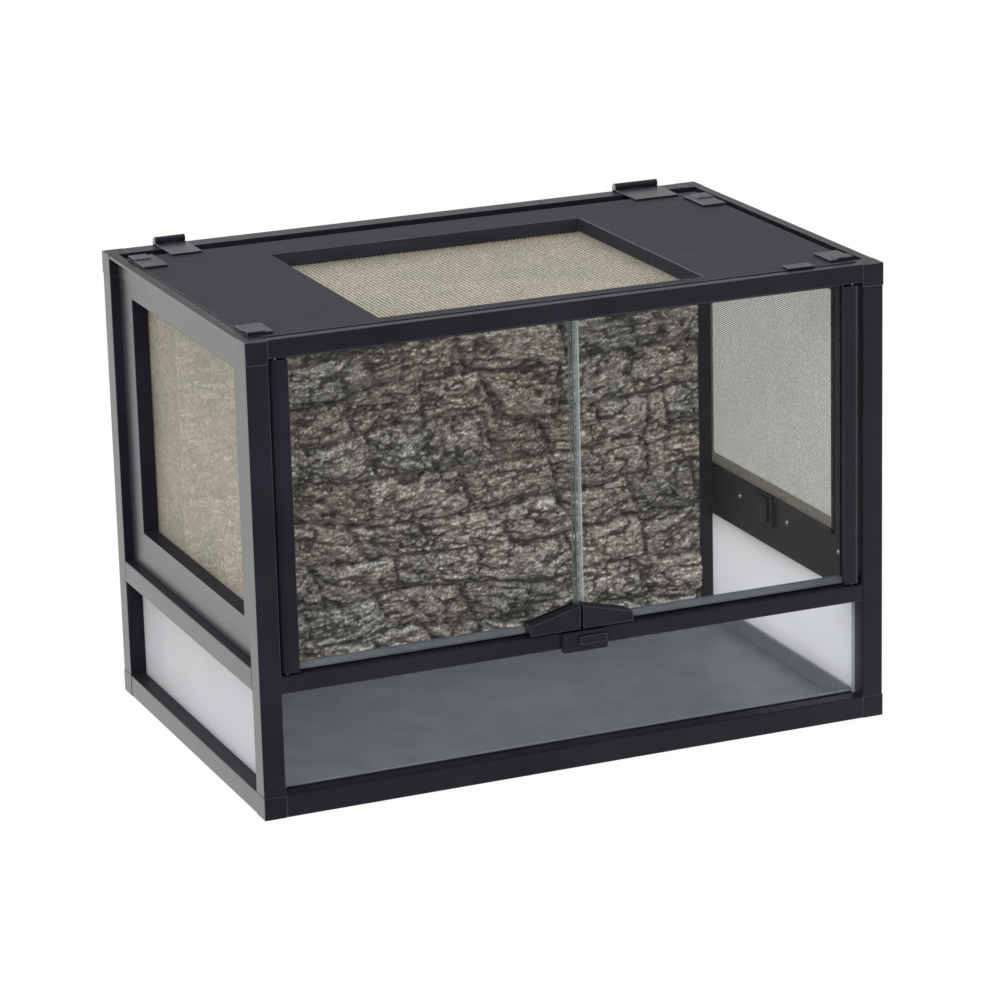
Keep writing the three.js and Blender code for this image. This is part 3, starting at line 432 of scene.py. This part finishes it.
# ------------------------------------------------------------------ CAD nodes that stay as they are
for node, obj in NODES.items():
    for place in obj.material_slots:
        place.link = "OBJECT"
        place.material = MATERIALS[SLOT_OF[node]]


# ------------------------------------------------------------------ nodes with broken edges
def plastic_material(node):
    if "hinge" in node:
        return "hinge_metal"
    if node.endswith(("lid_cap", "tab")):
        return "cap_plastic"
    return SLOT_OF[node]


for node, slot in SLOT_OF.items():
    if slot in ("black_plastic", "lid_grey") and node != "back_panel":
        dress(node, 0.0006, 2, plastic_material(node))
for node, slot in SLOT_OF.items():
    if slot == "frame_black":
        dress(node, 0.0005, 1, slot)


# ------------------------------------------------------------------ panes with ground edges
PANE_ARRIS = 0.0004


def pane(node):
    lo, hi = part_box(node)
    thin = min(range(3), key=lambda i: hi[i] - lo[i])
    bm = bmesh.new()
    verts, faces = box_mesh(lo, hi)
    made = [bm.verts.new(v) for v in verts]
    for f in faces:
        bm.faces.new([made[i] for i in f])
    bmesh.ops.bevel(bm, geom=bm.edges[:], offset=PANE_ARRIS, segments=1, affect="EDGES")
    bm.normal_update()
    index = [0 if abs(f.normal[thin]) > 0.9 else 1 for f in bm.faces]
    verts = [v.co[:] for v in bm.verts]
    faces = [[v.index for v in f.verts] for f in bm.faces]
    bm.free()
    obj = piece(f"{node}_pane", verts, faces, BODY_OF[node], "clear_glass",
                [MATERIALS["clear_glass"], MATERIALS["pane_edge"]], index)
    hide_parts(node)


for node in ("lower_front_window", "left_door_glass", "right_door_glass"):
    pane(node)


def frosted_sheet(node):
    lo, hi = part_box(node)
    verts, faces = box_mesh(lo, hi)
    obj = piece(f"{node}_sheet", verts, faces, BODY_OF[node], "frosted_pane")
    bevel(obj, PANE_ARRIS, 1)
    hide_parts(node)


for node in ("lower_left_window", "lower_right_window"):
    frosted_sheet(node)


# ------------------------------------------------------------------ wire mesh
WIRE_THICK = 0.00014
WIRE_LAYER = 0.0003  # from the middle of the net to the middle of each layer
HEM = 0.005  # black border round the net


def wire_net(node, pitch, width):
    """Two crossing layers of flattened wire in a black border, in the CAD net's place."""
    lo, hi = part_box(node)
    flat = min(range(3), key=lambda i: hi[i] - lo[i])
    a, b = [i for i in range(3) if i != flat]
    mid = (lo[flat] + hi[flat]) / 2
    rows = []
    for run, across, side in ((a, b, -1), (b, a, 1)):
        count = int((hi[across] - lo[across]) / pitch)
        start = (lo[across] + hi[across] - (count - 1) * pitch) / 2
        for i in range(count):
            low, high = list(lo), list(hi)
            low[across] = start + i * pitch - width / 2
            high[across] = start + i * pitch + width / 2
            low[flat] = mid + side * WIRE_LAYER - WIRE_THICK / 2
            high[flat] = mid + side * WIRE_LAYER + WIRE_THICK / 2
            rows.append(low + high)
    for axis in (a, b):
        for end in (0, 1):
            low, high = list(lo), list(hi)
            if end:
                low[axis] = hi[axis] - HEM
            else:
                high[axis] = lo[axis] + HEM
            rows.append(low + high)
    verts, faces = boxes_mesh(rows)
    hem_faces = 4 * len(BOX_FACES)
    index = [0] * (len(faces) - hem_faces) + [1] * hem_faces
    obj = piece(f"{node}_wire", verts, faces, BODY_OF[node], "wire_mesh",
                [MATERIALS["wire_mesh"], MATERIALS["black_plastic"]], index)
    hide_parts(node)


wire_net("left_side_mesh", 0.0023, 0.00098)
wire_net("right_side_mesh", 0.0023, 0.00092)
wire_net("lid_mesh", 0.0046, 0.0027)


# ------------------------------------------------------------------ rock face
NOISE_TABLE = 97, 89


def value_noise(x, y, seed):
    """Smooth noise from a repeatable table."""
    table = np.random.default_rng(seed).random(NOISE_TABLE)
    xi, yi = np.floor(x).astype(int), np.floor(y).astype(int)
    fx, fy = x - xi, y - yi
    fx, fy = fx * fx * (3 - 2 * fx), fy * fy * (3 - 2 * fy)

    def at(i, j):
        return table[(xi + i) % NOISE_TABLE[0], (yi + j) % NOISE_TABLE[1]]

    low = at(0, 0) * (1 - fx) + at(1, 0) * fx
    high = at(0, 1) * (1 - fx) + at(1, 1) * fx
    return low * (1 - fy) + high * fy


def fractal(x, y, seed, octaves=4, gain=0.5):
    """Noise with finer and fainter noise on it, from 0 to 1."""
    total, size, norm = 0, 1.0, 0.0
    for i in range(octaves):
        total = total + size * value_noise(x * 2 ** i, y * 2 ** i, seed + i)
        norm += size
        size *= gain
    return total / norm


def ridged(x, y, seed, octaves):
    """Thin crests: one at every place where the noise crosses its middle."""
    total, size, norm = 0, 1.0, 0.0
    for i in range(octaves):
        crest = 1 - np.abs(2 * value_noise(x * 2 ** i, y * 2 ** i, seed + i) - 1)
        total = total + size * crest
        norm += size
        size *= 0.55
    return total / norm


COURSE = 47.0  # height of a course of stones
ROWS = 64  # courses before their lengths repeat
STONES = 97  # stones before their levels and colours repeat


def rock_face():
    """The foam wall: courses of stones on a flat block, coloured by stone and layer, with painted shade
    in the joints and cracks and painted light and shade by slope.
    """
    lo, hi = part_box("rock_background")
    back, face = REAR - 0.028, REAR - 0.097
    nx, nz = 330, 296  # grid points across and up
    x = np.linspace(lo.x, hi.x, nx)
    z = np.linspace(lo.z, hi.z, nz)
    X, Z = np.meshgrid(x, z)
    U, V = X * 1000 + 400, Z * 1000
    # The strata swing up and down across the wall; everything below follows them.
    swing = (52 * (fractal(U / 170, V / 190, 11, 2) - 0.5)
             + 9 * (fractal(U / 36, V / 30, 21, 3) - 0.5))
    drift = 44 * (fractal(U / 90, V / 90, 31, 2) - 0.5)
    S, T = U + drift, V + swing
    course = T / COURSE
    row = np.floor(course).astype(int)
    up = course - row
    rng = np.random.default_rng(5)
    offsets = rng.random(ROWS) * 90
    lengths = 58 + rng.random(ROWS) * 62
    along = (S + offsets[row % ROWS] + 14 * (up - 0.5)) / lengths[row % ROWS]
    column = np.floor(along).astype(int)
    side = along - column
    edge_v = np.minimum(up, 1 - up) * COURSE
    edge_u = np.minimum(side, 1 - side) * lengths[row % ROWS]
    wander = 5 * (fractal(U / 9, V / 9, 91, 2) - 0.5)
    edge = np.clip(np.minimum(edge_u * 0.8, edge_v) + wander, 0, 40)
    key = (row * 7 + column * 13) % STONES
    level = np.random.default_rng(8).random(STONES)[key]
    tilt = (np.random.default_rng(9).random(STONES)[key] - 0.5) * 2
    dome = 1 - np.exp(-edge / 4.0)
    # Bedding: thin layers that step in and out, at each stone's own slant.
    slant = T + 0.22 * tilt * S
    layers = fractal(S / 42, slant / 6.0, 41, 4, 0.6)
    crests = ridged(S / 30, slant / 12, 45, 2)
    chips = fractal(U / 9, slant / 4.2, 47, 3, 0.65)
    crack = np.clip(1 - np.abs(fractal(S / 24, slant / 13, 61, 4) - 0.5) * 14, 0, 1)
    relief = (1.5 + 8.0 * level * dome + 6.0 * (layers - 0.5) * dome + 1.6 * (crests - 0.5)
              + 3.4 * (chips - 0.5) + 2.5 * tilt * (side - 0.5) - 3.0 * crack - 3.0 * (1 - dome))
    # Nothing stands out where the channels hold the block's edges.
    inside = np.minimum(X - LEFT, RIGHT - X) * 1000 - 46.5
    relief = np.where(inside < 0, np.minimum(relief, 0) - 0.2, relief)
    relief = np.clip(relief, -6, 13.6)
    Y = face - relief * MM
    front = np.stack([X, Y, Z], -1).reshape(-1, 3)
    border = np.stack([X, np.full_like(X, back), Z], -1).reshape(-1, 3)
    rim = np.concatenate([
        np.arange(nx), np.arange(1, nz) * nx + nx - 1,
        (nz - 1) * nx + np.arange(nx - 2, -1, -1), np.arange(nz - 2, 0, -1) * nx,
    ])
    i, j = np.meshgrid(np.arange(nx - 1), np.arange(nz - 1))
    k = (j * nx + i).ravel()
    quads = np.stack([k, k + 1, k + nx + 1, k + nx], -1).tolist()
    base = len(front)
    verts = np.concatenate([front, border[rim]])
    m = len(rim)
    for n in range(m):
        p = (n + 1) % m
        quads.append([int(rim[p]), int(rim[n]), base + n, base + p])
    quads.append([base + n for n in range(m)][::-1])
    obj = piece("rock_face", verts.tolist(), quads, "frame", "rock_foam", smooth=True)
    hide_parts("rock_background")
    # Colour by stone and by layer, with painted shade in the joints and cracks, painted light and shade
    # by slope, and darker towards the top.
    tone = 0.75 + 0.5 * np.random.default_rng(14).random(STONES)[key]
    warm = np.random.default_rng(15).random(STONES)[key]
    streak = fractal(S / 13, slant / 3.0, 71, 4, 0.7)
    dash = value_noise(S / 12, slant / 2.6, 75) * value_noise(S / 31, slant / 6.1, 76)
    speck = np.random.default_rng(77).random(X.shape)
    patch = fractal(U / 60, V / 40, 81, 4)
    painted_slope_shade = np.gradient(relief, axis=0)
    value = 0.34 * tone * (0.75 + 0.5 * patch) * np.clip(-0.35 + 2.75 * streak, 0.15, 2.4)
    value *= 0.25 + 1.6 * speck
    value *= np.clip(0.3 + dash * 9, 0.3, 1)
    # Painted light and shade: rock faces that tilt up are lighter, those that tilt down darker.
    value *= np.clip(1 - 0.55 * painted_slope_shade, 0.4, 2.0)
    # Painted shade in the joints between stones, where their edges sink.
    value *= 0.16 + 0.84 * np.clip(edge / 3.6, 0, 1)
    value *= 1.22 - 0.3 * np.clip(V / 466, 0, 1)
    # Painted shade in the cracks.
    value *= 1 - 0.85 * np.clip(crack * 1.5, 0, 1)
    pink = np.array([1.20, 0.98, 0.80])
    blue = np.array([1.02, 1.0, 0.93])
    mixw = np.clip(warm * 0.6 + patch * 0.7 - 0.15, 0, 1)[..., None]
    colour = value[..., None] * (pink * mixw + blue * (1 - mixw))
    opaque = np.ones_like(value)[..., None]
    rgba = np.concatenate([np.clip(colour, 0, 0.9), opaque], -1).reshape(-1, 4)
    cut = [0.13, 0.118, 0.105, 1.0]  # the block's cut edges and rear
    rgba[rim] = cut
    rgba = np.concatenate([rgba, np.tile(cut, (m, 1))])
    # The vertex colours hold the painted shade and light as well as the stones' own colours.
    layer = obj.data.color_attributes.new("stone", "FLOAT_COLOR", "POINT")
    layer.data.foreach_set("color", rgba.astype(np.float32).ravel())


rock_face()


# ------------------------------------------------------------------ clear strips under the door glasses
GLASS_GAP = 0.0002  # between a pane and the plastic round it


def bottom_strip(door):
    """A channel that takes the lower edge of a door's glass, from stile to handle."""
    glass_lo, glass_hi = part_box(f"{door}_door_glass")
    handle_lo, handle_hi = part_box(f"{door}_door_handle")
    stile_lo, stile_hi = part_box(f"{door}_door_stile")
    x0, x1 = (stile_hi.x, handle_lo.x) if door == "left" else (handle_hi.x, stile_lo.x)
    x0, x1 = x0 + 0.0003, x1 - 0.0003
    z0, z1 = stile_lo.z + 0.0003, stile_lo.z + 0.0075
    y0, y1 = glass_lo.y - 0.0012, glass_hi.y + 0.0012
    near, far, under = glass_lo.y - GLASS_GAP, glass_hi.y + GLASS_GAP, glass_lo.z - GLASS_GAP
    rows = [
        (x0, y0, z0, x1, near, z1),
        (x0, far, z0, x1, y1, z1),
        (x0, near, z0, x1, far, under),
    ]
    verts, faces = boxes_mesh(rows)
    bevel(piece(f"{door}_door_bottom_strip", verts, faces, f"{door}_door", "clear_plastic",
                [MATERIALS["strip"]]), 0.0002, 1)


bottom_strip("left")
bottom_strip("right")


# ------------------------------------------------------------------ meeting seal with its milky lip
def meeting_seal():
    lo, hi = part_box("meeting_seal")
    glass_lo, glass_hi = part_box("right_door_glass")
    wall, lip = 0.0009, 0.0015
    rows = [
        (lo.x, lo.y, lo.z, lo.x + wall, hi.y, hi.z),
        (lo.x + wall, lo.y, lo.z, hi.x - lip, lo.y + wall, hi.z),
        (lo.x + wall, hi.y - wall, lo.z, hi.x - lip, hi.y, hi.z),
        (hi.x - lip, lo.y - 0.0004, lo.z, hi.x, lo.y + wall, hi.z),
        (hi.x - lip, hi.y - wall, lo.z, hi.x, hi.y, hi.z),
    ]
    verts, faces = boxes_mesh(rows)
    index = [0] * 3 * len(BOX_FACES) + [1] * 2 * len(BOX_FACES)  # the lip is the last two boxes
    obj = piece("meeting_seal_strip", verts, faces, "right_door", "clear_plastic",
                [MATERIALS["clear_plastic"], MATERIALS["milky"]], index)
    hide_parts("meeting_seal")


meeting_seal()


# ------------------------------------------------------------------ screws
SCREW_RADIUS, SCREW_HEIGHT = 0.0032, 0.0013


def screw_mesh(centre, normal):
    """A pan-head screw with a cross recess."""
    ring = 20
    n = Vector(normal).normalized()
    u = n.orthogonal().normalized()
    v = n.cross(u)
    profile = [(1.0, 0.0), (1.0, 0.35), (0.9, 0.72), (0.62, 0.95), (0.42, 1.0), (0.34, 0.62)]
    verts, faces = [], []
    for r, h in profile:
        for k in range(ring):
            t = 2 * math.pi * k / ring
            q = r * (0.75 + 0.4 * math.cos(4 * t)) if r < 0.5 else r  # the recess is a cross
            spoke = u * math.cos(t) + v * math.sin(t)
            verts.append(Vector(centre) + spoke * (q * SCREW_RADIUS) + n * (h * SCREW_HEIGHT))
    for s in range(len(profile) - 1):
        for k in range(ring):
            p = (k + 1) % ring
            faces.append((s * ring + k, s * ring + p, (s + 1) * ring + p, (s + 1) * ring + k))
    faces.append(tuple(range((len(profile) - 1) * ring, len(profile) * ring)))
    faces.append(tuple(range(ring))[::-1])
    return verts, faces


def screws(name, places, body):
    verts, faces = [], []
    for centre, normal in places:
        v, f = screw_mesh(centre, normal)
        faces += [tuple(i + len(verts) for i in g) for g in f]
        verts += v
    piece(name, verts, faces, body, "steel", [MATERIALS["screw"]], smooth=True)


PANEL_INNER = 0.027  # outer plane of a side to the inner face of its panel

for side, plane, sign in (("left", LEFT, 1), ("right", RIGHT, -1)):
    inner = plane + sign * PANEL_INNER
    screws(f"{side}_panel_screws",
           [((inner, FRONT + d, 0.172), (sign, 0, 0)) for d in (0.050, 0.170, 0.285)], "frame")


def side_clip():
    """Black clip that holds the side panel, with a raised thumb rib."""
    inner = RIGHT - PANEL_INNER
    y0, y1, z0, z1 = FRONT + 0.200, FRONT + 0.236, 0.157, 0.195
    rows = [
        (inner - 0.0035, y0, z0, inner - 0.0002, y1, z1),
        (inner - 0.0060, y0 + 0.009, z0 + 0.005, inner - 0.0036, y1 - 0.009, z1 - 0.005),
    ]
    verts, faces = boxes_mesh(rows)
    bevel(piece("right_panel_clip", verts, faces, "frame", "black_plastic", smooth=True), 0.0007, 2)


side_clip()


def gasket(name, x, sign):
    """Clear gasket between a post and the end of the low front pane."""
    lo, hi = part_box("lower_front_window")
    x0, x1 = sorted((x, x + sign * 0.0042))
    rows = [(x0, lo.y - 0.0016, 0.0245, x1, lo.y - GLASS_GAP, 0.1305)]
    verts, faces = boxes_mesh(rows)
    bevel(piece(name, verts, faces, "frame", "clear_plastic", [MATERIALS["milky"]]), 0.0004, 1)


gasket("left_pane_gasket", LEFT + 0.0243, 1)
gasket("right_pane_gasket", RIGHT - 0.0243, -1)


# ------------------------------------------------------------------ floor, light and world
FLOOR_HALF = 14
LAMPS = (  # name, place, size in metres, watts
    ("key", (-1.5, -1.9, 2.2), 1.6, 28),
    ("left_fill", (-2.2, 0.5, 1.0), 1.4, 13),
    ("right_fill", (2.2, 0.2, 1.2), 1.4, 12),
)


def seen(n):
    """1 for the rays that show something: straight from the camera, mirrored or through glass."""
    path = n.add("ShaderNodeLightPath").outputs
    either = n.maths("MAXIMUM", path["Is Camera Ray"], path["Is Glossy Ray"])
    return n.maths("MAXIMUM", either, path["Is Transmission Ray"])


def stage_and_light():
    """A floor and a sky that look white and give less light than that, and three lamps."""
    scene = bpy.context.scene
    scene.view_settings.view_transform = "Standard"

    n = Nodes("floor")
    share = n.maths("MULTIPLY", seen(n), 0.95)
    diffuse = n.add("ShaderNodeBsdfDiffuse", {"Color": (0.86, 0.86, 0.86, 1)}).outputs["BSDF"]
    inputs = {"Color": (1, 1, 1, 1), "Strength": 1.0}
    glow = n.add("ShaderNodeEmission", inputs).outputs["Emission"]
    mesh = bpy.data.meshes.new("floor")
    s = FLOOR_HALF
    mesh.from_pydata([(-s, -s, 0), (s, -s, 0), (s, s, 0), (-s, s, 0)], [], [(0, 1, 2, 3)])
    mesh.materials.append(n.finish(n.mix_shader(share, diffuse, glow)))
    floor = bpy.data.objects.new("floor", mesh)
    bpy.context.collection.objects.link(floor)

    n = Nodes("world", "worlds", "ShaderNodeOutputWorld")
    inputs = {"Color": (1, 1, 1, 1), "Strength": n.span(seen(n), 0.78, 1.0)}
    scene.world = n.finish(n.add("ShaderNodeBackground", inputs).outputs["Background"])

    for name, at, size, power in LAMPS:
        data = bpy.data.lights.new(name, "AREA")
        data.shape, data.size, data.energy = "SQUARE", size, power
        lamp = bpy.data.objects.new(name, data)
        bpy.context.collection.objects.link(lamp)
        lamp.location = at
        lamp.rotation_euler = (Vector((0, 0, 0.2)) - Vector(at)).to_track_quat("-Z", "Y").to_euler()


stage_and_light()
